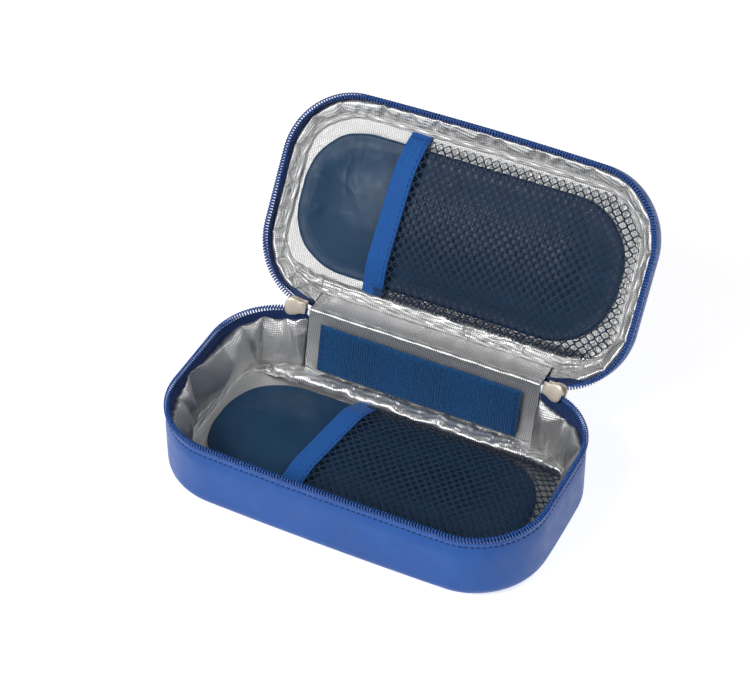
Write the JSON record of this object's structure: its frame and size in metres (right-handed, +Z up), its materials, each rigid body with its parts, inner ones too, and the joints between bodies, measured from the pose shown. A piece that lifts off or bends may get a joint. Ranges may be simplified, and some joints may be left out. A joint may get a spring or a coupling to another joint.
{
  "type": "insulin cooling case",
  "caption": "Soft zip case with a foil-lined base and lid joined along a fold, net pockets with elastic edges that hold flat gel cold packs, and a loop strip on the inner back wall.",
  "frame": {"origin": "centre of the flat underside of the base", "axes": "+X along the length, +Y towards the fold at the back, +Z up out of the base"},
  "size_m": [0.2022, 0.1896, 0.1331],
  "materials": {
    "cover_blue": "satin",
    "foam_white": "matte",
    "foil_silver": "satin",
    "zip_tape": "matte",
    "zip_coil": "satin",
    "elastic_blue": "matte",
    "net_navy": "matte",
    "loop_blue": "matte",
    "pack_film": "satin",
    "pack_gel": "gloss",
    "slider_metal": "satin"
  },
  "bodies": {
    "base": {"base_side_panel": "cover_blue", "base_floor_foam": "foam_white", "base_wall_foam": "foam_white", "base_wall_lining": "foil_silver", "base_floor_lining": "foil_silver", "base_floor_binding": "foil_silver", "base_zipper_tape": "zip_tape", "base_zipper_coil": "zip_coil", "base_net_pocket": "net_navy", "base_elastic_band": "elastic_blue", "base_bottom_panel": "cover_blue", "back_panel_lower": "cover_blue", "back_foam_lower": "foam_white", "back_lining_lower": "foil_silver", "loop_fastener_strip": "loop_blue"},
    "lid": {"lid_side_panel": "cover_blue", "lid_floor_foam": "foam_white", "lid_wall_foam": "foam_white", "lid_wall_lining": "foil_silver", "lid_floor_lining": "foil_silver", "lid_floor_binding": "foil_silver", "lid_zipper_tape": "zip_tape", "lid_zipper_coil": "zip_coil", "lid_net_pocket": "net_navy", "lid_elastic_band": "elastic_blue", "lid_top_panel": "cover_blue", "back_panel_upper": "cover_blue", "back_foam_upper": "foam_white", "back_lining_upper": "foil_silver"},
    "base_pack": {"base_pack_bottom_film": "pack_film", "base_pack_gel": "pack_gel", "base_pack_top_film": "pack_film"},
    "lid_pack": {"lid_pack_bottom_film": "pack_film", "lid_pack_gel": "pack_gel", "lid_pack_top_film": "pack_film"},
    "left_slider": {"left_slider_body": "slider_metal"},
    "left_pull": {"left_pull_tab": "slider_metal"},
    "right_slider": {"right_slider_body": "slider_metal"},
    "right_pull": {"right_pull_tab": "slider_metal"}
  },
  "joints": [
    {"name": "lid_hinge", "type": "hinge", "parent": "base", "child": "lid", "pos_m": [0, 0.055, 0.041], "axis": [1, 0, 0], "range_deg": [-20, 125]},
    {"name": "left_slider_travel", "type": "hinge", "parent": "base", "child": "left_slider", "pos_m": [-0.064, 0.019, 0.041], "axis": [0, 0, 1], "range_deg": [0, 70]},
    {"name": "left_pull_swing", "type": "hinge", "parent": "left_slider", "child": "left_pull", "pos_m": [-0.0725, 0.05921, 0.041], "axis": [0.9784, 0.2068, 0], "range_deg": [0, 25]},
    {"name": "right_slider_travel", "type": "hinge", "parent": "base", "child": "right_slider", "pos_m": [0.064, 0.019, 0.041], "axis": [0, 0, -1], "range_deg": [0, 70]},
    {"name": "right_pull_swing", "type": "hinge", "parent": "right_slider", "child": "right_pull", "pos_m": [0.0725, 0.05921, 0.041], "axis": [0.9784, -0.2068, 0], "range_deg": [0, 25]},
    {"name": "base_pack_slide", "type": "slide", "parent": "base", "child": "base_pack", "axis": [1, 0, 0], "range_m": [-0.001, 0.0025]},
    {"name": "lid_pack_slide", "type": "slide", "parent": "lid", "child": "lid_pack", "axis": [1, 0, 0], "range_m": [-0.001, 0.0025]}
  ]
}
